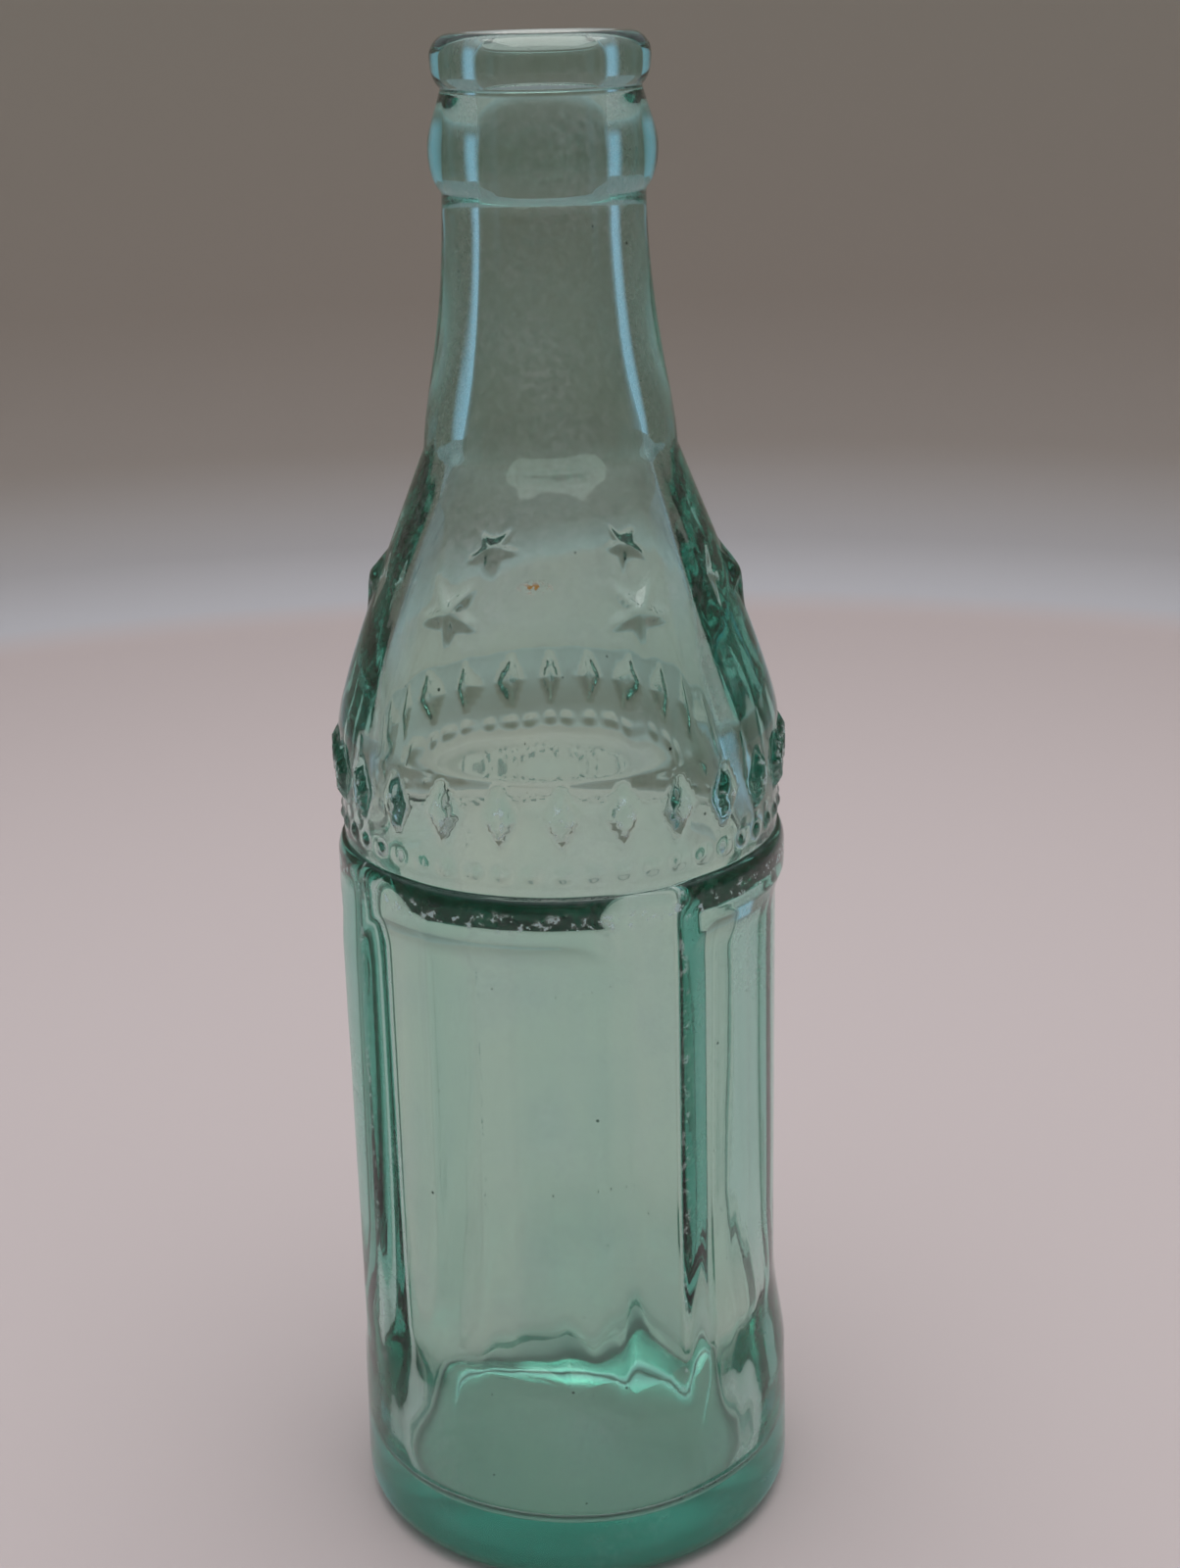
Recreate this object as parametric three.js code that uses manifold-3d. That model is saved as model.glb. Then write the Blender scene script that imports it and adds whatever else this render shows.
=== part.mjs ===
// A small crown-top soda bottle in pale aqua glass, moulded in one piece.
// Millimetres, +Z up. The origin is the middle of the circle that the bottle stands on, and -Y is its front.
// The glass is divided where its form changes. Each zone is a closed body that sits flat on the one below.
import * as THREE from "three";
import { mergeVertices } from "three/addons/utils/BufferGeometryUtils.js";
import Module from "manifold-3d";

const wasm = await Module();
wasm.setup();

// Heights of the zones, from the table up
const heelHeight = 26;
const panelZoneHeight = 68;
const beadHeight = 5.4;
const bandHeight = 14.8;
const shoulderHeight = 35.1;
const neckHeight = 30.9;
const collarHeight = 12;
const lipHeight = 6.2;

// Outside of the body
const bodyDiameter = 59.8;
const heelFlare = 0.4;
const heelRound = 5;
const beadInset = 0.4;
const beadRound = 2.4;
const bandStep = 1.4;

// Outside of the neck and the crown finish
const neckFootDiameter = 31.8;
const neckTopDiameter = 24.8;
const neckFlareHeight = 14;
const neckFootEase = 0.3;
const neckTopEase = 0.2;
const shoulderLowerBend = 5.3;
const shoulderLowerEase = 1.2;
const shoulderUpperBend = 10.9;
const shoulderUpperSpread = 4.3;
const collarDiameter = 27.8;
const collarFootStep = 0.05;
const collarBellyHeight = 5;
const collarLowerBend = 1.7;
const collarUpperBend = 2.8;
const lipDiameter = 26.4;
const lipOverhang = 1.15;
const lipBellyHeight = 3.6;
const lipLowerBend = 0.9;
const mouthLand = 1.2;

// Inside
const bodyWall = 4;
const neckFootWall = 4.4;
const neckBoreEase = 1.7;
const innerLowerBend = 6;
const innerLowerEase = 0.8;
const innerUpperBend = 13.3;
const innerUpperSpread = 3;
const boreDiameter = 16;
const mouthRound = 1.3;
const mouthRoundHeight = 2;
const baseThickness = 7;
const floorRound = 3.5;
const standRingWidth = 7;
const pushUpDepth = 1.6;

// Recessed panels round the body, with upright pilasters between them
const panelCount = 4;
const panelRecess = 1.55;
const pilasterWidth = 9.2;
const pilasterAzimuth = 22;
const panelSideBevel = 4.2;
const panelTopBevel = 4.2;
const panelFootFade = 10;
const panelMargin = 0.6;

// Five-point stars round the shoulder, each with a point downwards
const starCount = 6;
const starPoints = 5;
const starTipRadius = 5.4;
const starValleyRadius = 2.1;
const starRelief = 1.4;
const starRise = 18.4;
const starAzimuth = 26;

// Plain lozenges and pearls round the band
const lozengeCount = 24;
const lozengeHeight = 8.4;
const lozengeWidth = 4.2;
const lozengeRelief = 0.7;
const lozengeRise = 10;
const pearlCount = 48;
const pearlDiameter = 2.6;
const pearlRelief = 0.6;
const pearlRise = 3;

// How far an ornament's root is let into the wall, and how far a cutter stands out of it
const rootDepth = 1.5;
const cutterProud = 1;

// Fineness of the round forms
const sidesRound = 48;
const stepsInCurve = 4;
const stepsAcrossPanel = 10;
const pearlSides = 6;

const paleGlass = "#9db8a8";
const aquaGlass = "#8fb3a2";
const deepGlass = "#4f9a80";

// Levels where the zones meet
const heelTop = heelHeight;
const panelTop = heelTop + panelZoneHeight;
const beadTop = panelTop + beadHeight;
const bandTop = beadTop + bandHeight;
const shoulderTop = bandTop + shoulderHeight;
const neckTop = shoulderTop + neckHeight;
const collarTop = neckTop + collarHeight;
const lipTop = collarTop + lipHeight;

// Radii that follow from the sizes above
const pilasterRadius = bodyDiameter / 2;
const panelFloorRadius = pilasterRadius - panelRecess;
const bodyBoreRadius = panelFloorRadius - bodyWall;
const heelRadius = pilasterRadius + heelFlare;
const beadRadius = pilasterRadius - beadInset;
const bandRadius = pilasterRadius - bandStep;
const neckFootRadius = neckFootDiameter / 2;
const neckTopRadius = neckTopDiameter / 2;
const neckFootBoreRadius = neckFootRadius - neckFootWall;
const collarRadius = collarDiameter / 2;
const lipRadius = lipDiameter / 2;
const grooveRadius = lipRadius - lipOverhang;
const boreRadius = boreDiameter / 2;

const point = (radius, height) => new THREE.Vector2(radius, height);

function curvePoints(start, pull, end) {
  return new THREE.QuadraticBezierCurve(start, pull, end).getPoints(stepsInCurve);
}

// A quarter of an ellipse about a middle point, between two angles in degrees
function ellipsePoints(middle, across, up, fromAngle, toAngle) {
  const turn = THREE.MathUtils.degToRad;
  const clockwise = toAngle < fromAngle;
  const curve = new THREE.EllipseCurve(
    middle.x, middle.y, across, up, turn(fromAngle), turn(toAngle), clockwise);
  return curve.getPoints(stepsInCurve);
}

// Positions only, with shared corners merged and flat triangles dropped
function closedGeometry(geometry) {
  geometry.deleteAttribute("normal");
  geometry.deleteAttribute("uv");
  const merged = mergeVertices(geometry, 1e-4);
  const kept = [];
  for (let i = 0; i < merged.index.count; i += 3) {
    const [a, b, c] = [0, 1, 2].map((corner) => merged.index.getX(i + corner));
    if (a !== b && b !== c && c !== a) {
      kept.push(a, b, c);
    }
  }
  merged.setIndex(kept);
  return merged;
}

function solidFrom(geometry) {
  const closed = closedGeometry(geometry);
  return new wasm.Manifold(new wasm.Mesh({
    numProp: 3,
    vertProperties: new Float32Array(closed.attributes.position.array),
    triVerts: new Uint32Array(closed.index.array),
  }));
}

function geometryFrom(solid) {
  const mesh = solid.getMesh();
  const geometry = new THREE.BufferGeometry();
  geometry.setAttribute("position", new THREE.BufferAttribute(mesh.vertProperties, 3));
  geometry.setIndex(new THREE.BufferAttribute(mesh.triVerts, 1));
  return geometry;
}

// Turns a section about the bottle's axis: up the outside, then down the inside
function turned(outside, inside) {
  const section = [...outside, ...inside];
  const onAxis = section[0].x === 0;
  if (!onAxis) {
    section.push(section[0].clone());
  }
  return new THREE.LatheGeometry(section, sidesRound).rotateX(Math.PI / 2);
}

// A pyramid on any outline, bent to a round wall, with a straight root below it.
// The outline runs anticlockwise seen from outside, starting from its lowest corner.
function raisedOrnament(outline, relief, wallRadius) {
  const corners = outline.length;
  const geometry = new THREE.CylinderGeometry(0, 1, 2, corners, 2);
  const position = geometry.attributes.position;
  for (let i = 0; i < position.count; i += 1) {
    const level = position.getY(i);
    const onAxis = Math.hypot(position.getX(i), position.getZ(i)) < 1e-6;
    const angle = Math.atan2(position.getX(i), position.getZ(i));
    const corner = (Math.round((angle / (2 * Math.PI)) * corners) + corners) % corners;
    const place = onAxis ? point(0, 0) : outline[corner];
    const fall = (place.x * place.x) / (2 * wallRadius);
    const depth = level < -0.5 ? -rootDepth : 0;
    position.setXYZ(i, place.x, place.y, level > 0.5 ? relief : depth - fall);
  }
  return geometry;
}

// Sets an ornament on the wall at an azimuth from the front, where the wall leans in by the given slope
function setOnWall(geometry, azimuth, radius, height, slope) {
  const angle = THREE.MathUtils.degToRad(azimuth);
  const across = new THREE.Vector3(Math.cos(angle), Math.sin(angle), 0);
  const level = Math.cos(slope);
  const outward = new THREE.Vector3(Math.sin(angle) * level, -Math.cos(angle) * level, Math.sin(slope));
  const upward = new THREE.Vector3().crossVectors(outward, across);
  const frame = new THREE.Matrix4().makeBasis(across, upward, outward);
  frame.setPosition(Math.sin(angle) * radius, -Math.cos(angle) * radius, height);
  return geometry.clone().applyMatrix4(frame);
}

// A ring of like ornaments joined to a zone
function withOrnaments(zone, ornament, count, firstAzimuth, radius, height, slope) {
  let solid = zone;
  for (let i = 0; i < count; i += 1) {
    const azimuth = firstAzimuth + (360 / count) * i;
    solid = solid.add(solidFrom(setOnWall(ornament, azimuth, radius, height, slope)));
  }
  return solid;
}

// Heel: a stand ring round a shallow push-up, a round bottom edge and a thick floor
function heelBase() {
  const standOuter = heelRadius - heelRound;
  const standInner = standOuter - standRingWidth;
  const outside = [
    ...ellipsePoints(point(0, 0), standInner, pushUpDepth, 90, 0),
    ...ellipsePoints(point(standOuter, heelRound), heelRound, heelRound, -90, 0),
    point(pilasterRadius, heelTop),
  ];
  outside[0].x = 0;
  const round = Math.min(floorRound, heelTop - baseThickness);
  const inside = [
    point(bodyBoreRadius, heelTop),
    ...ellipsePoints(point(bodyBoreRadius - round, baseThickness + round), round, round, 0, -90),
    point(0, baseThickness),
  ];
  return turned(outside, inside);
}

// The space that one panel takes out of the wall, wider towards the outside so that its borders are bevelled
function panelCutter(azimuth) {
  const pitch = (2 * Math.PI) / panelCount;
  const bevelAngle = panelSideBevel / pilasterRadius;
  const floorHalfAngle = (pitch - pilasterWidth / pilasterRadius) / 2 - bevelAngle;
  const spread = (panelRecess + cutterProud) / panelRecess;
  const floorTop = panelTop - panelMargin - panelTopBevel;
  const floorFoot = heelTop + panelMargin + panelFootFade;
  const middle = THREE.MathUtils.degToRad(azimuth);
  const geometry = new THREE.BoxGeometry(2, 2, 2, stepsAcrossPanel, 1, 1);
  const position = geometry.attributes.position;
  for (let i = 0; i < position.count; i += 1) {
    const outer = position.getZ(i) > 0;
    const reach = outer ? spread : 0;
    const radius = outer ? pilasterRadius + cutterProud : panelFloorRadius;
    const angle = middle + position.getX(i) * (floorHalfAngle + bevelAngle * reach);
    const top = floorTop + panelTopBevel * reach;
    const foot = floorFoot - panelFootFade * reach;
    const height = position.getY(i) > 0 ? top : foot;
    position.setXYZ(i, radius * Math.sin(angle), -radius * Math.cos(angle), height);
  }
  return geometry;
}

function panelBody() {
  const outside = [point(pilasterRadius, heelTop), point(pilasterRadius, panelTop)];
  const inside = [point(bodyBoreRadius, panelTop), point(bodyBoreRadius, heelTop)];
  let solid = solidFrom(turned(outside, inside));
  const pitch = 360 / panelCount;
  for (let i = 0; i < panelCount; i += 1) {
    solid = solid.subtract(solidFrom(panelCutter(pilasterAzimuth + pitch * (i + 0.5))));
  }
  return geometryFrom(solid);
}

// Bead: drawn in a little from the pilasters below, rounded over to the band above
function beadRing() {
  const round = Math.min(beadRound, beadHeight / 2);
  const outside = [
    point(pilasterRadius, panelTop),
    point(beadRadius, panelTop + (beadHeight - round) / 2),
    ...ellipsePoints(point(bandRadius, beadTop - round), beadRadius - bandRadius, round, 0, 90),
  ];
  const inside = [point(bodyBoreRadius, beadTop), point(bodyBoreRadius, panelTop)];
  return turned(outside, inside);
}

function ornamentBand() {
  const outside = [point(bandRadius, beadTop), point(bandRadius, bandTop)];
  const inside = [point(bodyBoreRadius, bandTop), point(bodyBoreRadius, beadTop)];
  const halfWidth = lozengeWidth / 2;
  const halfHeight = lozengeHeight / 2;
  const lozengeOutline = [
    point(0, -halfHeight),
    point(halfWidth, 0),
    point(0, halfHeight),
    point(-halfWidth, 0),
  ];
  const pearlOutline = [];
  for (let i = 0; i < pearlSides; i += 1) {
    const angle = (2 * Math.PI * i) / pearlSides;
    pearlOutline.push(point((pearlDiameter / 2) * Math.sin(angle), (-pearlDiameter / 2) * Math.cos(angle)));
  }
  const lozenge = raisedOrnament(lozengeOutline, lozengeRelief, bandRadius);
  const pearl = raisedOrnament(pearlOutline, pearlRelief, bandRadius);
  let solid = solidFrom(turned(outside, inside));
  solid = withOrnaments(solid, lozenge, lozengeCount, 0, bandRadius, beadTop + lozengeRise, 0);
  solid = withOrnaments(solid, pearl, pearlCount, 0, bandRadius, beadTop + pearlRise, 0);
  return geometryFrom(solid);
}

// Shoulder: a slightly full cone from the band up to the crease at the foot of the neck
function starShoulder() {
  const outer = new THREE.CubicBezierCurve(
    point(bandRadius, bandTop),
    point(bandRadius - shoulderLowerEase, bandTop + shoulderLowerBend),
    point(neckFootRadius + shoulderUpperSpread, shoulderTop - shoulderUpperBend),
    point(neckFootRadius, shoulderTop));
  const inner = new THREE.CubicBezierCurve(
    point(neckFootBoreRadius, shoulderTop),
    point(neckFootBoreRadius + innerUpperSpread, shoulderTop - innerUpperBend),
    point(bodyBoreRadius - innerLowerEase, bandTop + innerLowerBend),
    point(bodyBoreRadius, bandTop));
  const steps = 2 * stepsInCurve;
  const starHeight = bandTop + starRise;
  let along = 0;
  while (outer.getPoint(along).y < starHeight && along < 1) {
    along += 1e-3;
  }
  const radius = outer.getPoint(along).x;
  const run = outer.getTangent(along);
  const slope = Math.atan2(-run.x, run.y);
  const starOutline = [];
  for (let i = 0; i < 2 * starPoints; i += 1) {
    const reach = i % 2 === 0 ? starTipRadius : starValleyRadius;
    const angle = (Math.PI * i) / starPoints;
    starOutline.push(point(reach * Math.sin(angle), -reach * Math.cos(angle)));
  }
  const star = raisedOrnament(starOutline, starRelief, radius);
  const wall = solidFrom(turned(outer.getPoints(steps), inner.getPoints(steps)));
  return geometryFrom(withOrnaments(wall, star, starCount, starAzimuth, radius, starHeight, slope));
}

// Neck: a long flare that steepens again just above the crease
function neck() {
  const outer = new THREE.CubicBezierCurve(
    point(neckFootRadius, shoulderTop),
    point(neckFootRadius - neckFootEase, shoulderTop + neckFlareHeight / 2),
    point(neckTopRadius + neckTopEase, shoulderTop + neckFlareHeight),
    point(neckTopRadius, neckTop));
  const inner = new THREE.CubicBezierCurve(
    point(boreRadius, neckTop),
    point(boreRadius, shoulderTop + neckFlareHeight),
    point(neckFootBoreRadius - neckBoreEase, shoulderTop + neckFlareHeight / 2),
    point(neckFootBoreRadius, shoulderTop));
  const steps = stepsInCurve + 2;
  return turned(outer.getPoints(steps), inner.getPoints(steps));
}

// Collar: a barrel that is fullest below its middle
function crownCollar() {
  const belly = neckTop + collarBellyHeight;
  const foot = point(neckTopRadius - collarFootStep, neckTop);
  const widest = point(collarRadius, belly);
  const lower = curvePoints(foot, point(collarRadius, neckTop + collarLowerBend), widest);
  const upperPull = point(collarRadius, belly + collarUpperBend);
  const upper = curvePoints(widest, upperPull, point(grooveRadius, collarTop));
  const inside = [point(boreRadius, collarTop), point(boreRadius, neckTop)];
  return turned([...lower, ...upper.slice(1)], inside);
}

// Lip: a thick rounded ring with a narrow flat land on top and an eased mouth
function crownLip() {
  const belly = collarTop + lipBellyHeight;
  const room = lipRadius - boreRadius;
  const ease = Math.min(mouthRound, room / 4);
  const land = Math.min(mouthLand, room / 4);
  const overRound = room - ease - land;
  const easeHeight = Math.min(mouthRoundHeight, lipHeight / 2);
  const underPull = point(lipRadius, collarTop + lipLowerBend);
  const under = curvePoints(point(grooveRadius, collarTop), underPull, point(lipRadius, belly));
  const over = ellipsePoints(point(lipRadius - overRound, belly), overRound, lipTop - belly, 0, 90);
  const mouth = ellipsePoints(point(boreRadius + ease, lipTop - easeHeight), ease, easeHeight, 90, 180);
  return turned([...under, ...over.slice(1)], [...mouth, point(boreRadius, collarTop)]);
}

function zone(name, geometry, colour) {
  const material = new THREE.MeshStandardMaterial({ color: colour, roughness: 0.08, metalness: 0 });
  const mesh = new THREE.Mesh(closedGeometry(geometry), material);
  mesh.name = name;
  return mesh;
}

const bottle = new THREE.Group();
bottle.name = "soda_bottle";
bottle.add(zone("heel_base", heelBase(), deepGlass));
bottle.add(zone("panel_body", panelBody(), aquaGlass));
bottle.add(zone("bead_ring", beadRing(), aquaGlass));
bottle.add(zone("ornament_band", ornamentBand(), aquaGlass));
bottle.add(zone("star_shoulder", starShoulder(), aquaGlass));
bottle.add(zone("neck", neck(), paleGlass));
bottle.add(zone("crown_collar", crownCollar(), paleGlass));
bottle.add(zone("crown_lip", crownLip(), paleGlass));

export default bottle;
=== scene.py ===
import math

import bmesh
import bpy
from mathutils import Matrix, Vector, noise
from mathutils.geometry import interpolate_bezier


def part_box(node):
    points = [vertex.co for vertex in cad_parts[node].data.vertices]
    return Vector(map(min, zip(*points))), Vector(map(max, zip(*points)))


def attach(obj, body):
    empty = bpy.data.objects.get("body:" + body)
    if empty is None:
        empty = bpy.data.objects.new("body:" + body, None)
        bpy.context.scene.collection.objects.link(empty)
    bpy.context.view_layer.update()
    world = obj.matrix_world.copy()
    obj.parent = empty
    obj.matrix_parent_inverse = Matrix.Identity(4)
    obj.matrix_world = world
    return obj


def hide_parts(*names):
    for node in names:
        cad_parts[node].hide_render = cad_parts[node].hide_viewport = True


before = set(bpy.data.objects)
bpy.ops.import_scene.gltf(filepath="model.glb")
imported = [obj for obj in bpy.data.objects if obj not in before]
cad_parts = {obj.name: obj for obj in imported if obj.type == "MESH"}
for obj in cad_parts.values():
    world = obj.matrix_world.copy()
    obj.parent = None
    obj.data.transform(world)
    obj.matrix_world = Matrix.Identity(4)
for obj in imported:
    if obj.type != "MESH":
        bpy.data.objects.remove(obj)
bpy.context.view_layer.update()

bl_info = {
    "name": "Crown-top soda bottle",
    "version": (1, 0, 0),
    "blender": (4, 5, 0),
    "location": "View3D > Sidebar > Bottle",
    "description": "Old soda bottle in moulded aqua glass, with a stage to look at it on",
    "category": "Add Mesh",
}

MM = 0.001
ON_AXIS = 0.001 * MM     # points nearer to the axis than this stay on it
UNDERSIDE = 2 * MM       # the push-up and the ring that the bottle stands on lie below this height
GLASS_STEPS = 288        # faces round the bottle, enough for the pearls
COVE_STEPS = 96          # faces round the backdrop
RIM_POWER = 4            # power of a dome that the push-up follows at the front, to start flat at its rim
LIGHT_BOUNCES = 24       # light runs along inside the thick glass many times before it leaves
AIR_UNDER = 0.15 * MM    # the glass touches a table at few points, so air lies under most of its ring
ZONES = (
    "heel_base", "panel_body", "bead_ring", "ornament_band",
    "star_shoulder", "neck", "crown_collar", "crown_lip",
)
FAR_CORNERS = {zone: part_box(zone)[1] for zone in ZONES}


def top_of(zone):
    return FAR_CORNERS[zone].z


def reach_of(zone):
    return FAR_CORNERS[zone].x


def linear(hex_colour):
    """An sRGB hex colour as the linear red, green, blue and alpha that shaders take."""
    channels = [int(hex_colour[i:i + 2], 16) / 255 for i in (1, 3, 5)]
    curved = [c / 12.92 if c <= 0.04045 else ((c + 0.055) / 1.055) ** 2.4 for c in channels]
    return (*curved, 1.0)


def length(name, description, default):
    return bpy.props.FloatProperty(
        name=name, description=description, default=default, unit="LENGTH", precision=5)


def angle(name, description, degrees):
    return bpy.props.FloatProperty(
        name=name, description=description, default=math.radians(degrees), subtype="ANGLE")


def count(name, description, default):
    return bpy.props.IntProperty(name=name, description=description, default=default, min=1)


def colour(name, description, hex_colour):
    return bpy.props.FloatVectorProperty(
        name=name, description=description, default=linear(hex_colour), size=4, subtype="COLOR")


class BottleSizes(bpy.types.PropertyGroup):
    heel_radius: length("Heel radius", "Widest radius of the heel", reach_of("heel_base"))
    heel_round: length("Heel round", "Radius of the bottom edge", 3.6 * MM)
    stand_ring: length("Stand ring", "Width of the flat ring that the bottle stands on", 7 * MM)
    push_up: length("Push-up", "Rise of the hollow under the floor", 1.6 * MM)
    body_radius: length("Body radius", "Radius at the upright pilasters", reach_of("panel_body"))
    bead_radius: length("Bead radius", "Crest radius of the bead ring", reach_of("panel_body") - 0.42 * MM)
    band_radius: length("Band radius", "Radius of the plain band", reach_of("star_shoulder"))
    neck_foot_radius: length("Neck foot radius", "Radius at the crease", reach_of("neck"))
    neck_top_radius: length("Neck top radius", "Radius under the collar", 12.4 * MM)
    collar_radius: length("Collar radius", "Belly radius of the collar", reach_of("crown_collar"))
    groove_radius: length("Groove radius", "Radius of the groove under the lip", 12.05 * MM)
    lip_radius: length("Lip radius", "Radius of the crown lip", reach_of("crown_lip"))
    bore_radius: length("Bore radius", "Radius of the bore in the neck", 8 * MM)
    mouth_ease: length("Mouth ease", "Rounding of the mouth's inner edge", 1.3 * MM)
    mouth_land: length("Mouth land", "Width of the flat land on the lip", 1.2 * MM)
    neck_foot_bore: length("Neck foot bore", "Inner radius at the crease", 11.5 * MM)
    shoulder_bore: length("Shoulder bore", "Inner radius at the foot of the shoulder", 22.7 * MM)
    body_bore: length("Body bore", "Inner radius of the band and the pilasters", 25.2 * MM)
    base_thickness: length("Base thickness", "Thickness of the floor", 7 * MM)
    floor_round: length("Floor round", "Radius of the inner bottom edge", 3.2 * MM)
    floor_ridge: length("Floor ridge", "How far the glass runs up at the back of the floor", 6.5 * MM)
    panel_count: count("Panels", "Recessed panels round the body", 4)
    panel_floor: length("Panel floor", "Radius of the panels' floors", 28.35 * MM)
    pilaster_width: length("Pilaster width", "Width between two panels", 8.5 * MM)
    pilaster_azimuth: angle("Pilaster azimuth", "First pilaster, from the front", 21.4)
    panel_left_cove: length("Panel left cove", "Width of a panel's steeper hollow side", 6 * MM)
    panel_right_cove: length("Panel right cove", "Width of a panel's gentler hollow side", 8.8 * MM)
    panel_top_cove: length("Panel top cove", "Height of a panel's hollow head", 4.6 * MM)
    panel_foot_fade: length("Panel foot fade", "Height over which a panel fades out", 14 * MM)
    panel_swell: length("Panel swell", "How far the inner wall swells in behind a panel", 2.9 * MM)
    swell_left: length("Swell left", "Width over which it swells from a panel's left side", 5.4 * MM)
    swell_right: length("Swell right", "Width over which it swells from a panel's right side", 8 * MM)
    swell_head: length("Swell head", "Height over which it swells below a panel's head", 4.8 * MM)
    swell_foot: length("Swell foot", "Height over which it fades out at the front", 14 * MM)
    side_swell: length("Side swell", "How far the inner wall swells in beside the left pilaster", 1.2 * MM)
    bead_round: length("Bead round", "Height of the bead's rounded top", 2.4 * MM)
    crest_height: length("Crest height", "Height of the bead's flat crest", 3.2 * MM)
    shoulder_lean: angle("Shoulder lean", "How far the shoulder leans back under the stars", 19.5)
    star_count: count("Stars", "Stars round the shoulder", 6)
    star_azimuth: angle("Star azimuth", "First star, from the front", 26)
    star_tip: length("Star tip radius", "Middle of a star to a tip", 5.5 * MM)
    star_valley: length("Star valley radius", "Middle of a star to a notch", 2.2 * MM)
    star_relief: length("Star relief", "Height of a star's middle", 1.3 * MM)
    star_rise: length("Star rise", "Height of the stars above the band", 18.4 * MM)
    lozenge_count: count("Lozenges", "Lozenges round the band", 24)
    lozenge_height: length("Lozenge height", "Height of a lozenge", 8.4 * MM)
    lozenge_width: length("Lozenge width", "Width of a lozenge", 4.2 * MM)
    lozenge_relief: length("Lozenge relief", "How far a lozenge stands out", 1.1 * MM)
    lozenge_rise: length("Lozenge rise", "Middle of the lozenges above the bead", 10 * MM)
    pearl_count: count("Pearls", "Pearls round the foot of the band", 48)
    pearl_radius: length("Pearl radius", "Radius of a pearl", 1.3 * MM)
    pearl_relief: length("Pearl relief", "How far a pearl stands out", 0.45 * MM)
    pearl_rise: length("Pearl rise", "Middle of the pearls above the bead", 3 * MM)
    bore_lean: length("Bore lean", "How far the blown hollow leans aside in the shoulder", 1.1 * MM)
    bore_ahead: length("Bore ahead", "How far the blown hollow stands forward in the shoulder", 1.65 * MM)
    inner_wave: length("Inner wave", "Unevenness of the blown inner wall", 0.3 * MM)
    inner_streak: length("Inner streak", "Depth of the upright streaks in the blown wall", 0.06 * MM)
    outer_wave: length("Outer wave", "Unevenness of the moulded outer wall", 0.04 * MM)


class BottleColours(bpy.types.PropertyGroup):
    surface: colour("Glass surface", "Tint of the clean glass surface", "#f7f9f1")
    absorption: colour("Glass body", "Colour that the glass keeps as it gets thicker", "#50dace")
    scuff: colour("Scuffs", "Frosted scuffs where bottles rubbed in the case", "#cfeaf0")
    film: colour("Film", "Dried film that clouds the glass", "#f3f6f3")
    stain: colour("Stain", "Rusty stain on the shoulder", "#a8762c")
    grit: colour("Grit", "Specks of grit and burst seeds", "#2c3a33")
    floor: colour("Floor", "Pale floor", "#bdb1b0")
    far_floor: colour("Far floor", "Cooler strip where the floor meets the wall", "#b5b5ba")
    wall_foot: colour("Wall foot", "Foot of the backdrop wall", "#a4a2a4")
    wall: colour("Wall", "Backdrop wall", "#a29b94")
    wall_head: colour("Wall head", "Backdrop wall above the bottle's middle", "#948c83")
    wall_shade: colour("Wall shade", "Top of the wall and what the camera sees above it", "#8e887e")
    sky: colour("Sky", "Soft light from above the backdrop", "#e6eaf2")
    # painted glow: an emission colour on the floor under the base, standing in for the light that the thick
    # glass would focus there
    painted_glow_under_base: colour("Painted glow", "Light that the thick base gathers on the floor under it", "#dff5ee")
    window: colour("Window", "Daylight on the side walls, out of the picture", "#b0c6e2")


def add_node(tree, kind, inputs=None, links=None, **settings):
    """Adds a node, sets its attributes, fills its sockets and links it from (node, socket) pairs."""
    node = tree.nodes.new(kind)
    for name, value in settings.items():
        setattr(node, name, value)
    for socket, value in (inputs or {}).items():
        node.inputs[socket].default_value = value
    for socket, (source, output) in (links or {}).items():
        tree.links.new(source.outputs[output], node.inputs[socket])
    return node


def empty_material(name):
    material = bpy.data.materials.new(name)
    material.use_nodes = True
    material.node_tree.nodes.clear()
    return material


def new_piece(name, mesh_builder, material):
    """Turns a bmesh into a smooth object at the origin that wears the material."""
    mesh = bpy.data.meshes.new(name)
    mesh_builder.to_mesh(mesh)
    mesh_builder.free()
    mesh.shade_smooth()
    mesh.materials.append(material)
    piece = bpy.data.objects.new(name, mesh)
    bpy.context.scene.collection.objects.link(piece)
    return piece


def turn_round(mesh_builder, chain, steps, merge_distance):
    """Spins a chain of points round the upright axis into a surface with its seam and poles closed."""
    edges = [mesh_builder.edges.new(pair) for pair in zip(chain, chain[1:])]
    bmesh.ops.spin(
        mesh_builder, geom=chain + edges, cent=(0, 0, 0), axis=(0, 0, 1), dvec=(0, 0, 0),
        angle=2 * math.pi, steps=steps, use_merge=True)
    bmesh.ops.remove_doubles(mesh_builder, verts=mesh_builder.verts, dist=merge_distance)
    bmesh.ops.recalc_face_normals(mesh_builder, faces=mesh_builder.faces)


def stretch(start, start_pull, end_pull, end, steps):
    """Points along a smooth stretch of the section, without its first point."""
    knots = [Vector((*pair, 0.0)) for pair in (start, start_pull, end_pull, end)]
    return [(p.x, p.y) for p in interpolate_bezier(*knots, steps + 1)][1:]


def quarter(middle, across, up, start_degrees, end_degrees, steps):
    """Points along a quarter ellipse, without its first point."""
    turns = [math.radians(start_degrees + (end_degrees - start_degrees) * i / steps)
             for i in range(1, steps + 1)]
    return [(middle[0] + across * math.cos(t), middle[1] + up * math.sin(t)) for t in turns]


def straight(start, end, steps):
    """Points along a straight stretch, without its first point."""
    return [tuple(Vector(start).lerp(Vector(end), i / steps)) for i in range(1, steps + 1)]


def stand_inner_radius(s):
    return s.heel_radius - s.heel_round - s.stand_ring


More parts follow.
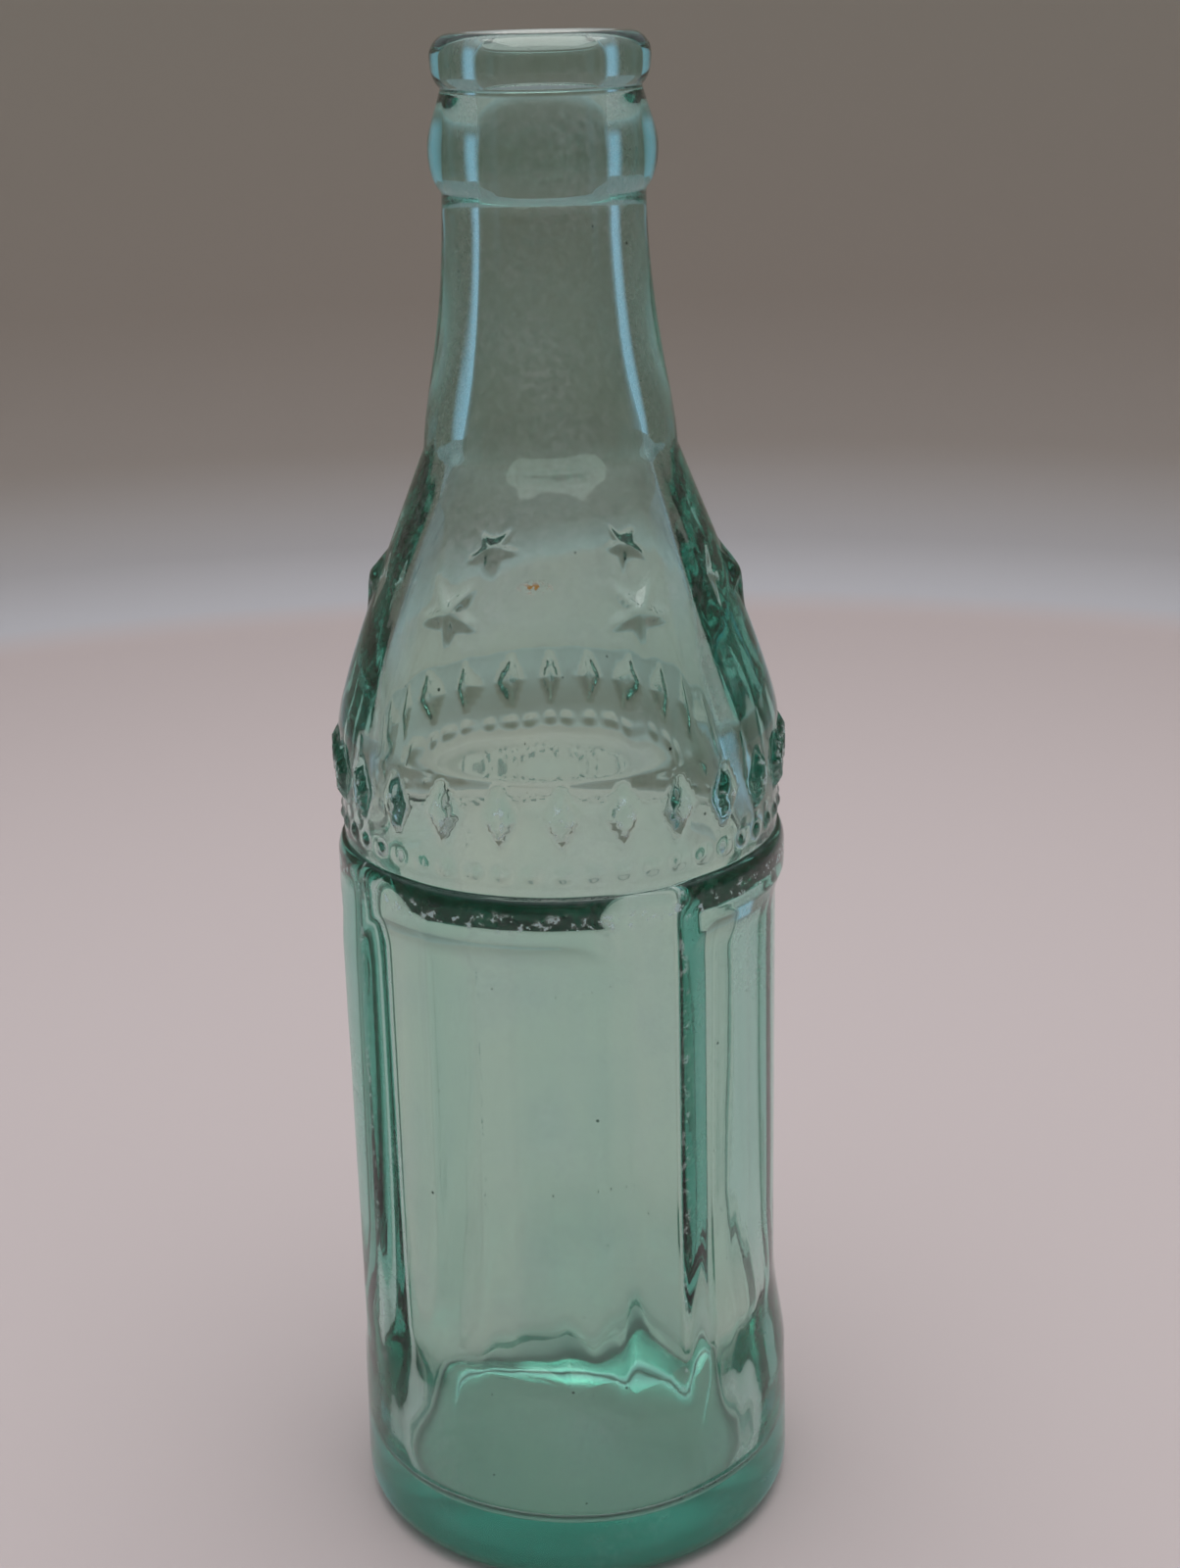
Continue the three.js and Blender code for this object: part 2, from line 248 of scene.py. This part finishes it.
def outside_section(s):
    """The outer half of the bottle's section, from the middle of its underside up to the lip's land."""
    heel_top, _, bead_top, band_top = (top_of(zone) for zone in ZONES[:4])
    shoulder_top, neck_top, collar_top, lip_top = (top_of(zone) for zone in ZONES[4:])
    stand_outer = s.heel_radius - s.heel_round
    stand_inner = stand_inner_radius(s)
    crest_top = bead_top - s.bead_round
    crest_foot = crest_top - s.crest_height
    points = [(0.0, s.push_up)]
    hollow = quarter((0.0, 0.0), stand_inner, 1.0, 90, 0, 9)
    points += [(radius, s.push_up * dome ** RIM_POWER) for radius, dome in hollow]
    points += straight(points[-1], (stand_outer, 0.0), 3)
    points += quarter((stand_outer, s.heel_round), s.heel_round, s.heel_round, -90, 0, 8)
    points += straight(points[-1], (s.body_radius, heel_top), 10)
    points += straight(points[-1], (s.body_radius, heel_top + 12 * MM), 14)
    points += straight(points[-1], (s.body_radius, crest_foot - 8 * MM), 8)
    points += straight(points[-1], (s.bead_radius, crest_foot), 18)
    points += straight(points[-1], (s.bead_radius, crest_top), 6)
    points += quarter(
        (s.band_radius, crest_top), s.bead_radius - s.band_radius, bead_top - crest_top, 0, 90, 8)
    points += straight(points[-1], (s.band_radius, band_top), 36)
    points += stretch(
        points[-1], (s.band_radius - 0.2 * MM, band_top + 4.6 * MM),
        (s.neck_foot_radius + 4.5 * MM, shoulder_top - 11.4 * MM), (s.neck_foot_radius, shoulder_top), 68)
    points += stretch(
        points[-1], (s.neck_foot_radius - 0.3 * MM, shoulder_top + 7 * MM),
        (s.neck_top_radius + 0.2 * MM, shoulder_top + 14 * MM), (s.neck_top_radius, neck_top), 16)
    belly = (s.collar_radius, neck_top + 5 * MM)
    points += stretch(
        points[-1], (s.collar_radius - 0.5 * MM, neck_top + 1.1 * MM),
        (s.collar_radius, neck_top + 2.8 * MM), belly, 9)
    points += stretch(
        belly, (s.collar_radius, neck_top + 7 * MM),
        (s.groove_radius + 0.7 * MM, collar_top - 2.6 * MM), (s.groove_radius, collar_top), 9)
    lip_belly = collar_top + 3.6 * MM
    points += stretch(
        points[-1], (s.groove_radius + 0.7 * MM, collar_top + 0.6 * MM),
        (s.lip_radius, collar_top + 1.6 * MM), (s.lip_radius, lip_belly), 9)
    land_outer = s.bore_radius + s.mouth_ease + s.mouth_land
    points += quarter(
        (land_outer, lip_belly), s.lip_radius - land_outer, lip_top - lip_belly, 0, 90, 10)
    return points


def inside_section(s):
    """The inner half of the section, from the lip's land down to the middle of the floor."""
    shoulder_top, neck_top = top_of("star_shoulder"), top_of("neck")
    band_top, lip_top = top_of("ornament_band"), top_of("crown_lip")
    heel_top, bead_top = top_of("heel_base"), top_of("bead_ring")
    mouth_height = 2 * MM
    points = [(s.bore_radius + s.mouth_ease, lip_top)]
    points += quarter(
        (points[0][0], lip_top - mouth_height), s.mouth_ease, mouth_height, 90, 180, 6)
    points += straight(points[-1], (s.bore_radius, neck_top), 5)
    points += stretch(
        points[-1], (s.bore_radius, shoulder_top + 14 * MM),
        (s.neck_foot_bore - 1.7 * MM, shoulder_top + 7 * MM), (s.neck_foot_bore, shoulder_top), 10)
    points += stretch(
        points[-1], (s.neck_foot_bore + 4.5 * MM, shoulder_top - 9.8 * MM),
        (s.shoulder_bore - 2.5 * MM, band_top + 14.3 * MM), (s.shoulder_bore, band_top + 2 * MM), 12)
    points += stretch(
        points[-1], (s.shoulder_bore + 0.7 * MM, band_top - 2.4 * MM),
        (s.body_bore - 0.5 * MM, bead_top + 5.4 * MM), (s.body_bore, bead_top), 8)
    points += straight(points[-1], (s.body_bore, bead_top - 9 * MM), 20)
    points += straight(points[-1], (s.body_bore, heel_top + 6 * MM), 6)
    floor_edge = s.base_thickness + s.floor_round
    points += straight(points[-1], (s.body_bore, floor_edge), 8)
    points += quarter(
        (s.body_bore - s.floor_round, floor_edge), s.floor_round, s.floor_round, 0, -90, 7)
    points += straight(points[-1], (0.0, s.base_thickness), 5)
    return points


def nearest_copy(azimuth, first, copies):
    """The angle from the nearest of a ring of evenly spaced copies."""
    pitch = 2 * math.pi / copies
    return (azimuth - first + pitch / 2) % pitch - pitch / 2


def held(share):
    """A share kept between 0 and 1."""
    return min(1.0, max(0.0, share))


def eased(share):
    """A share from 0 to 1 that starts and ends gently."""
    kept = held(share)
    return kept * kept * (3 - 2 * kept)


def frontness(azimuth, sharpness):
    """1 towards the front and 0 towards the back, changing over faster where it is sharper."""
    return eased(0.5 + sharpness * math.cos(azimuth))


def uneven(place, grain, squeeze, seed):
    """Smooth noise from -1 to 1 with features of about the given size, drawn out upwards by the squeeze."""
    return noise.noise(Vector((place.x, place.y, place.z * squeeze)) / grain + Vector((seed, 0.0, 0.0)))


def panel_edges(s, azimuth, height, head):
    """How far inside a panel's left side, inside its right side and below its head a point lies."""
    pitch = 2 * math.pi / s.panel_count
    off_middle = nearest_copy(azimuth, s.pilaster_azimuth + pitch / 2, s.panel_count) * s.body_radius
    half_width = (pitch * s.body_radius - s.pilaster_width) / 2
    return half_width + off_middle, half_width - off_middle, head - height


def panel_share(s, azimuth, height):
    """How much of a panel's recess is reached: hollow sides and head, and a foot that fades."""
    foot = top_of("heel_base") - 6 * MM
    head = top_of("bead_ring") - s.bead_round - s.crest_height
    left, right, below = panel_edges(s, azimuth, height, head)
    side = min(1 - math.sqrt(1 - eased(left / s.panel_left_cove)), right / s.panel_right_cove)
    short = [1 - held(share) for share in (side, below / s.panel_top_cove)]
    cove = 1 - min(1.0, math.hypot(*short)) ** 2
    return cove * eased((height - foot) / s.panel_foot_fade)


def swell_share(s, azimuth, height):
    """How much of the swelling behind a panel is reached; at the front it ends above the heel."""
    inset, lap, foot_rise = 1.2 * MM, 4 * MM, 4 * MM
    softer = 1.4
    left, right, below = panel_edges(s, azimuth, height, top_of("bead_ring") - inset)
    front, crisp = frontness(azimuth, 1), eased(0.5 + math.sin(azimuth))
    inwards, downwards = (left - inset) / s.swell_left, below / s.swell_head
    left_side = crisp * held(inwards) + (1 - crisp) * eased(inwards / softer)
    right_side = eased((right + lap) / s.swell_right)
    top = front * held(downwards) + (1 - front) * eased(downwards / softer)
    foot = eased((height - top_of("heel_base") - foot_rise) / s.swell_foot)
    return min(left_side, right_side) * top * (1 - front * (1 - foot))


def side_share(azimuth, height):
    """How much of the swelling beside the left pilaster is reached: quick to rise, slow to fall behind."""
    crest, rise, fall = -78, 18, 65    # degrees round from the front
    past = crest - math.degrees(azimuth)
    way_round = eased(1 - (past / fall if past > 0 else -past / rise))
    below = eased((top_of("bead_ring") - height) / (5 * MM))
    above = eased((height - top_of("heel_base")) / (20 * MM))
    return way_round * below * above


def ridge_share(azimuth, radius, height):
    """How much of the glass that ran up at the back of the floor is reached; it comes to a point there."""
    half_width = math.radians(55)
    way_round = held(1 - (math.pi - abs(azimuth)) / half_width)
    low = eased((top_of("heel_base") - height) / (16 * MM))
    outer = eased((radius - 4 * MM) / (18 * MM))
    return way_round * low * outer


def star_height(s, azimuth, height, radius):
    """Height of the stars: five ridges that fall from the middle to the tips, one of them downwards."""
    sideways = nearest_copy(azimuth, s.star_azimuth, s.star_count) * radius
    upwards = (height - top_of("ornament_band") - s.star_rise) / math.cos(s.shoulder_lean)
    reach = math.hypot(sideways, upwards)
    if reach > s.star_tip:
        return 0.0
    fold = math.pi / 5
    bearing = abs((math.atan2(sideways, -upwards) + fold) % (2 * fold) - fold)
    edge = s.star_tip * s.star_valley * math.sin(fold) / (
        s.star_tip * math.sin(bearing) + s.star_valley * math.sin(fold - bearing))
    climb = max(0.0, 1.0 - reach / edge)
    return s.star_relief * (climb + eased(climb)) / 2


def band_relief(s, azimuth, height):
    """Height of the lozenges, steep with nearly flat tops, and of the domed pearls on the band."""
    foot = top_of("bead_ring")
    steepness = 2.2
    sideways = nearest_copy(azimuth, 0.0, s.lozenge_count) * s.band_radius
    upwards = height - foot - s.lozenge_rise
    lozenge = 1.0 - abs(sideways) / (s.lozenge_width / 2) - abs(upwards) / (s.lozenge_height / 2)
    across = nearest_copy(azimuth, 0.0, s.pearl_count) * s.band_radius
    over = height - foot - s.pearl_rise
    dome = 1.0 - (across ** 2 + over ** 2) / s.pearl_radius ** 2
    return s.lozenge_relief * held(steepness * lozenge) ** 0.9 + s.pearl_relief * max(0.0, dome) ** 1.5


def wear_share(s, azimuth, height):
    """How much the outside is rubbed: most on the bead's crest, less on ornaments and panel rims."""
    on_ornaments, on_rims = 0.8, 0.7
    rim_width, crest_width = 0.9 * MM, 1.5 * MM
    bead_top = top_of("bead_ring")
    worn_line = bead_top - s.bead_round - 0.6 * MM
    crest = eased(1.2 - abs(height - worn_line) / crest_width)
    if bead_top < height < top_of("ornament_band"):
        return max(crest, on_ornaments * eased(band_relief(s, azimuth, height) / s.lozenge_relief))
    if not top_of("heel_base") < height < bead_top:
        return crest
    left, _, _ = panel_edges(s, azimuth, height, bead_top)
    return max(crest, on_rims * eased(1 - abs(left) / rim_width))


def underside_shift(s, azimuth, radius):
    """Makes the push-up rise more steeply from its rim at the back than at the front."""
    rim = stand_inner_radius(s)
    if radius >= rim:
        return Vector()
    dome = math.sqrt(1 - (radius / rim) ** 2)
    steeper = s.push_up * (dome - dome ** RIM_POWER) * (1 - frontness(azimuth, 2))
    return Vector((0.0, 0.0, steeper))


def outside_shift(s, place, azimuth, radius):
    """How far a point of the turned outside moves, to sink the panels and raise the ornaments."""
    height = place.z
    if height < UNDERSIDE:
        return underside_shift(s, azimuth, radius)
    panel_foot, bead_top = top_of("heel_base") - 4 * MM, top_of("bead_ring")
    band_top, shoulder_top = top_of("ornament_band"), top_of("star_shoulder")
    outward = Vector((place.x, place.y, 0.0)) / radius
    lift = s.outer_wave * uneven(place, grain=9 * MM, squeeze=1.0, seed=3.1)
    if panel_foot < height < bead_top and radius > s.panel_floor:
        lift -= (radius - s.panel_floor) * panel_share(s, azimuth, height)
    if bead_top - s.bead_round < height < bead_top:
        chamfer = s.band_radius + (s.bead_radius - s.band_radius) * (bead_top - height) / s.bead_round
        lift += (chamfer - radius) * (1 - frontness(azimuth, 2))
    if bead_top < height < band_top:
        lift += band_relief(s, azimuth, height)
    if band_top < height < shoulder_top:
        lift += star_height(s, azimuth, height, radius)
        outward = outward * math.cos(s.shoulder_lean) + Vector((0, 0, math.sin(s.shoulder_lean)))
    return outward * lift


def inside_shift(s, place, azimuth, radius):
    """How far a point of the turned inside moves, to swell behind the panels and waver like blown glass."""
    height = place.z
    bead_top, band_top = top_of("bead_ring"), top_of("ornament_band")
    bulge_middle, bulge_reach = band_top + 5 * MM, 30 * MM
    ahead_top, ramp = top_of("star_shoulder") + 4 * MM, 12 * MM
    aside = s.bore_lean * eased(1 - abs(height - bulge_middle) / bulge_reach)
    ahead = s.bore_ahead * eased((height - bead_top) / ramp) * eased((ahead_top - height) / ramp)
    shift = Vector((-aside, -ahead, s.floor_ridge * ridge_share(azimuth, radius, height)))
    if height > top_of("neck"):
        return shift
    lift = s.inner_wave * uneven(place, grain=14 * MM, squeeze=0.35, seed=7.7)
    lift += s.inner_streak * uneven(place, grain=2.6 * MM, squeeze=0.06, seed=1.3)
    lift -= s.side_swell * side_share(azimuth, height)
    if height < band_top:
        lift -= s.panel_swell * swell_share(s, azimuth, height)
    return shift + Vector((place.x, place.y, 0.0)) * (lift / radius)


def shape_glass(shell, s, outside_layer, wear_layer):
    """Moves the turned shell's points to their place in the finished bottle, and notes the wear."""
    for point in shell.verts:
        radius = math.hypot(point.co.x, point.co.y)
        if radius < ON_AXIS:
            continue
        azimuth = math.atan2(point.co.x, -point.co.y)
        if point[outside_layer] > 0.5:
            point[wear_layer] = wear_share(s, azimuth, point.co.z)
            point.co += outside_shift(s, point.co, azimuth, radius)
        else:
            point.co += inside_shift(s, point.co, azimuth, radius)


def glass_material(c):
    """Soda-lime glass, blown in a mould: green in the thick, hazed, scuffed, gritty and once stained."""
    # Clear and glossy, with sharp bent images of what is behind it. Nearly colourless where it is thin, it
    # turns teal with thickness. Age adds a grainy haze, frosted scuffs on what stands out, and specks.
    material = empty_material("soda-lime glass, moulded")
    tree = material.node_tree
    coordinates = add_node(tree, "ShaderNodeTexCoord")
    split = add_node(tree, "ShaderNodeSeparateXYZ", None, {"Vector": (coordinates, "Object")})
    rubbed = add_node(tree, "ShaderNodeAttribute", attribute_name="wear")
    grains = {
        "scratch": (1.1 * MM, 4.0), "cloud": (15 * MM, 5.0), "speck": (0.9 * MM, 4.0),
        "rust": (0.8 * MM, 3.0), "ripple": (6 * MM, 3.0),
    }
    noises = {
        name: add_node(
            tree, "ShaderNodeTexNoise", {"Scale": 1 / size, "Detail": detail, "Roughness": 0.6},
            {"Vector": (coordinates, "Object")})
        for name, (size, detail) in grains.items()
    }
    cells = add_node(
        tree, "ShaderNodeTexVoronoi", {"Scale": 1 / (8 * MM)}, {"Vector": (coordinates, "Object")})
    stain_x, stain_y, stain_z, flatness = -2.2 * MM, -20.5 * MM, 136.1 * MM, 3
    flattened = add_node(
        tree, "ShaderNodeMapping",
        {"Location": (-stain_x, -stain_y, -flatness * stain_z), "Scale": (1, 1, flatness)},
        {"Vector": (coordinates, "Object")})
    away = add_node(tree, "ShaderNodeVectorMath", None, {0: (flattened, "Vector")}, operation="LENGTH")
    ramps = {
        "scratches": ((noises["scratch"], "Fac"), 0.52, 0.64, 0.9),
        "clouds": ((noises["cloud"], "Fac"), 0.4, 0.8, 1.0),
        "dried": ((split, "Z"), 100 * MM, 165 * MM, 0.5),
        "specks": ((noises["speck"], "Fac"), 0.38, 0.66, 1.0),
        "grit": ((cells, "Distance"), 0.035, 0.02, 1.0),
        "near_stain": ((away, "Value"), 2.8 * MM, 0.8 * MM, 1.0),
        "rust": ((noises["rust"], "Fac"), 0.46, 0.56, 1.0),
        "stood_on": ((split, "Z"), UNDERSIDE, 1.65 * MM, 0.24),
    }
    shares = {
        name: add_node(
            tree, "ShaderNodeMapRange", {"From Min": low, "From Max": high, "To Max": most},
            {"Value": source}, interpolation_type="SMOOTHSTEP")
        for name, (source, low, high, most) in ramps.items()
    }

    scuff = add_node(
        tree, "ShaderNodeMath", None, {0: (rubbed, "Fac"), 1: (shares["scratches"], "Result")},
        operation="MULTIPLY")
    stain = add_node(
        tree, "ShaderNodeMath", None, {0: (shares["near_stain"], "Result"), 1: (shares["rust"], "Result")},
        operation="MULTIPLY")
    clouded = add_node(
        tree, "ShaderNodeMath", None, {0: (shares["clouds"], "Result"), 1: (shares["dried"], "Result")},
        operation="ADD")
    grainy = add_node(
        tree, "ShaderNodeMath", None, {0: (clouded, "Value"), 1: (shares["specks"], "Result")},
        operation="MULTIPLY")
    haze = add_node(
        tree, "ShaderNodeMapRange", {"From Max": 1.5, "To Max": 0.18}, {"Value": (grainy, "Value")})

    tint = add_node(
        tree, "ShaderNodeMix", {"A": c.surface, "B": c.film}, {"Factor": (clouded, "Value")},
        data_type="RGBA")
    covers = (
        (c.scuff, (scuff, "Value")), (c.stain, (stain, "Value")), (c.grit, (shares["grit"], "Result")),
    )
    for tone, share in covers:
        tint = add_node(
            tree, "ShaderNodeMix", {"B": tone}, {"A": (tint, "Result"), "Factor": share}, data_type="RGBA")
    veil = add_node(
        tree, "ShaderNodeMath", None, {0: (scuff, "Value"), 1: (stain, "Value")}, operation="MAXIMUM")
    veil = add_node(
        tree, "ShaderNodeMath", None, {0: (veil, "Value"), 1: (haze, "Result")}, operation="MAXIMUM")
    clear = add_node(
        tree, "ShaderNodeMapRange", {"To Min": 1.0, "To Max": 0.3}, {"Value": (veil, "Value")})
    worn = add_node(
        tree, "ShaderNodeMapRange", {"To Min": 0.03, "To Max": 0.45}, {"Value": (scuff, "Value")})
    rough = add_node(
        tree, "ShaderNodeMath", None, {0: (worn, "Result"), 1: (shares["stood_on"], "Result")},
        operation="MAXIMUM")
    bump = add_node(
        tree, "ShaderNodeBump", {"Strength": 0.25, "Distance": 0.05 * MM},
        {"Height": (noises["ripple"], "Fac")})
    glass = add_node(
        tree, "ShaderNodeBsdfPrincipled", {"IOR": 1.52},
        {"Base Color": (tint, "Result"), "Roughness": (rough, "Value"),
         "Transmission Weight": (clear, "Result"), "Normal": (bump, "Normal")})
    body = add_node(
        tree, "ShaderNodeVolumeAbsorption", {"Color": c.absorption, "Density": 52.0})
    add_node(
        tree, "ShaderNodeOutputMaterial", None,
        {"Surface": (glass, "BSDF"), "Volume": (body, "Volume")})
    return material


class BOTTLE_OT_glass(bpy.types.Operator):
    """Turn the bottle's section into one closed glass wall and raise its ornaments"""
    bl_idname = "bottle.glass"
    bl_label = "Glass bottle"

    def execute(self, context):
        s = context.scene.bottle_sizes
        shell = bmesh.new()
        outside_layer = shell.verts.layers.float.new("outside")
        wear_layer = shell.verts.layers.float.new("wear")
        section = [(*pair, 1.0) for pair in outside_section(s)]
        section += [(*pair, 0.0) for pair in inside_section(s)]
        chain = []
        for radius, height, outside in section:
            point = shell.verts.new((0.0, -radius, height))
            point[outside_layer] = outside
            chain.append(point)
        turn_round(shell, chain, GLASS_STEPS, 0.001 * MM)
        shape_glass(shell, s, outside_layer, wear_layer)
        bottle = new_piece("bottle_glass", shell, glass_material(context.scene.bottle_colours))
        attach(bottle, "root")
        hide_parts(*ZONES)
        return {"FINISHED"}


def backdrop_material(c):
    """Painted board: matt, pale underfoot, darkening up the wall, with a painted glow on the floor where
    the glass stands.
    """
    # Matt and even, with hardly a gloss. The floor under the base has a painted glow, an emission that
    # stands in for the light that the thick glass would gather there. The side walls show daylight to rays
    # that have come through the glass.
    material = empty_material("painted board, matt")
    tree = material.node_tree
    coordinates = add_node(tree, "ShaderNodeTexCoord")
    split = add_node(tree, "ShaderNodeSeparateXYZ", None, {"Vector": (coordinates, "Object")})
    tone_reach = 200 * MM
    # painted glow: emission strength under the base, full out to glow_full and gone at glow_end
    glow_full, glow_end, glow_strength = 22 * MM, 28 * MM, 0.17
    climb = add_node(
        tree, "ShaderNodeMapRange", {"From Min": 0.0, "From Max": tone_reach}, {"Value": (split, "Z")})
    blend = add_node(tree, "ShaderNodeValToRGB", None, {"Fac": (climb, "Result")})
    tones = (
        (4 * MM, c.far_floor), (18 * MM, c.wall_foot), (49 * MM, c.wall),
        (100 * MM, c.wall_head), (195 * MM, c.wall_shade),
    )
    blend.color_ramp.elements.remove(blend.color_ramp.elements[1])
    blend.color_ramp.elements[0].color = c.floor
    for height, tone in tones:
        blend.color_ramp.elements.new(height / tone_reach).color = tone
    flat = add_node(
        tree, "ShaderNodeVectorMath", {1: (1.0, 1.0, 0.0)}, {0: (coordinates, "Object")},
        operation="MULTIPLY")
    out = add_node(tree, "ShaderNodeVectorMath", None, {0: (flat, "Vector")}, operation="LENGTH")
    glow = add_node(
        tree, "ShaderNodeMapRange",
        {"From Min": glow_full, "From Max": glow_end, "To Min": glow_strength, "To Max": 0.0},
        {"Value": (out, "Value")}, interpolation_type="SMOOTHSTEP")
    # the board's emission is the painted glow under the base
    board = add_node(
        tree, "ShaderNodeBsdfPrincipled", {"Roughness": 0.8, "Emission Color": c.painted_glow_under_base},
        {"Base Color": (blend, "Color"), "Emission Strength": (glow, "Result")})

    path = add_node(tree, "ShaderNodeLightPath")
    aside = add_node(tree, "ShaderNodeMath", None, {0: (split, "X")}, operation="ABSOLUTE")
    shown, output = path, "Is Transmission Ray"
    fades = (
        ((aside, "Value"), 340 * MM, 450 * MM), ((split, "Y"), 60 * MM, 200 * MM),
        ((split, "Z"), 20 * MM, 100 * MM),
    )
    for source, low, high in fades:
        fade = add_node(
            tree, "ShaderNodeMapRange", {"From Min": low, "From Max": high}, {"Value": source},
            interpolation_type="SMOOTHSTEP")
        shown = add_node(
            tree, "ShaderNodeMath", None, {0: (shown, output), 1: (fade, "Result")}, operation="MULTIPLY")
        output = "Value"
    daylight = add_node(tree, "ShaderNodeEmission", {"Color": c.window, "Strength": 0.9})
    seen = add_node(
        tree, "ShaderNodeMixShader", None,
        {0: (shown, output), 1: (board, "BSDF"), 2: (daylight, "Emission")})
    add_node(tree, "ShaderNodeOutputMaterial", None, {"Surface": (seen, "Shader")})
    return material


def add_cove(c):
    """A round floor that bends up into a wall on every side."""
    floor_reach, bend, wall_top = 460 * MM, 50 * MM, 300 * MM
    section = [(0.0, 0.0)] + straight((0.0, 0.0), (floor_reach, 0.0), 6)
    section += quarter((floor_reach, bend), bend, bend, -90, 0, 12)
    section += straight(section[-1], (floor_reach + bend, wall_top), 6)
    cove = bmesh.new()
    chain = [cove.verts.new((0.0, -radius, height)) for radius, height in section]
    turn_round(cove, chain, COVE_STEPS, 0.01 * MM)
    bmesh.ops.translate(cove, vec=(0, 0, -AIR_UNDER), verts=cove.verts)
    new_piece("cove", cove, backdrop_material(c))


def add_sky(scene, c):
    """Soft light that is dim near the level and bright overhead; the camera sees the wall go on instead."""
    world = bpy.data.worlds.new("soft room")
    world.use_nodes = True
    scene.world = world
    tree = world.node_tree
    tree.nodes.clear()
    way = add_node(tree, "ShaderNodeTexCoord")
    split = add_node(tree, "ShaderNodeSeparateXYZ", None, {"Vector": (way, "Generated")})
    rise = add_node(
        tree, "ShaderNodeMapRange",
        {"From Min": 0.45, "From Max": 0.85, "To Min": 0.3, "To Max": 1.15}, {"Value": (split, "Z")},
        interpolation_type="SMOOTHSTEP")
    light = add_node(tree, "ShaderNodeBackground", {"Color": c.sky}, {"Strength": (rise, "Result")})
    shade = add_node(tree, "ShaderNodeBackground", {"Color": c.wall_shade})
    path = add_node(tree, "ShaderNodeLightPath")
    seen = add_node(
        tree, "ShaderNodeMixShader", None,
        {0: (path, "Is Camera Ray"), 1: (light, "Background"), 2: (shade, "Background")})
    add_node(tree, "ShaderNodeOutputWorld", None, {"Surface": (seen, "Shader")})


def add_softbox(scene):
    """One broad, slightly warm lamp overhead."""
    place, aim = Vector((0.05, 0.0, 1.0)), Vector((0.0, 0.0, 0.1))
    data = bpy.data.lights.new("overhead", "AREA")
    data.shape = "RECTANGLE"
    data.size = 0.9
    data.size_y = 0.9
    data.energy = 5.5
    data.color = (1, 0.97, 0.93)
    lamp = bpy.data.objects.new("overhead", data)
    lamp.location = place
    lamp.rotation_euler = (aim - place).to_track_quat("-Z", "Y").to_euler()
    scene.collection.objects.link(lamp)


def add_camera(scene):
    """A camera a little above the bottle's mouth, looking down at it."""
    pan, tilt_down, roll = math.radians(-0.79), math.radians(19.58), math.radians(-1.31)
    place = Vector((0.0, -0.2856, 0.2055))
    lens = bpy.data.cameras.new("camera")
    lens.lens = 52.8
    lens.clip_start = 0.01
    camera = bpy.data.objects.new("camera", lens)
    turn = (Matrix.Rotation(pan, 4, "Z")
            @ Matrix.Rotation(math.pi / 2 - tilt_down, 4, "X")
            @ Matrix.Rotation(roll, 4, "Z"))
    camera.matrix_world = Matrix.Translation(place) @ turn
    scene.collection.objects.link(camera)
    scene.camera = camera


class BOTTLE_OT_stage(bpy.types.Operator):
    """Set the floor and backdrop, the soft lights and the camera"""
    bl_idname = "bottle.stage"
    bl_label = "Stage"

    def execute(self, context):
        scene = context.scene
        scene.view_settings.view_transform = "Standard"
        for kind in ("max_bounces", "glossy_bounces", "transmission_bounces"):
            setattr(scene.cycles, kind, LIGHT_BOUNCES)
        add_cove(scene.bottle_colours)
        add_sky(scene, scene.bottle_colours)
        add_softbox(scene)
        add_camera(scene)
        return {"FINISHED"}


class BOTTLE_PT_panel(bpy.types.Panel):
    """Buttons and sizes for the bottle"""
    bl_idname = "BOTTLE_PT_panel"
    bl_label = "Soda bottle"
    bl_space_type = "VIEW_3D"
    bl_region_type = "UI"
    bl_category = "Bottle"

    def draw(self, context):
        for operator in OPERATORS:
            self.layout.operator(operator.bl_idname)
        for group in (context.scene.bottle_sizes, context.scene.bottle_colours):
            for name in group.__annotations__:
                self.layout.prop(group, name)


OPERATORS = (BOTTLE_OT_glass, BOTTLE_OT_stage)
CLASSES = (BottleSizes, BottleColours, *OPERATORS, BOTTLE_PT_panel)


def register():
    for item in CLASSES:
        bpy.utils.register_class(item)
    bpy.types.Scene.bottle_sizes = bpy.props.PointerProperty(type=BottleSizes)
    bpy.types.Scene.bottle_colours = bpy.props.PointerProperty(type=BottleColours)


def unregister():
    del bpy.types.Scene.bottle_colours
    del bpy.types.Scene.bottle_sizes
    for item in reversed(CLASSES):
        bpy.utils.unregister_class(item)


def main():
    register()
    bpy.ops.bottle.glass()
    bpy.ops.bottle.stage()


if __name__ == "__main__":
    main()
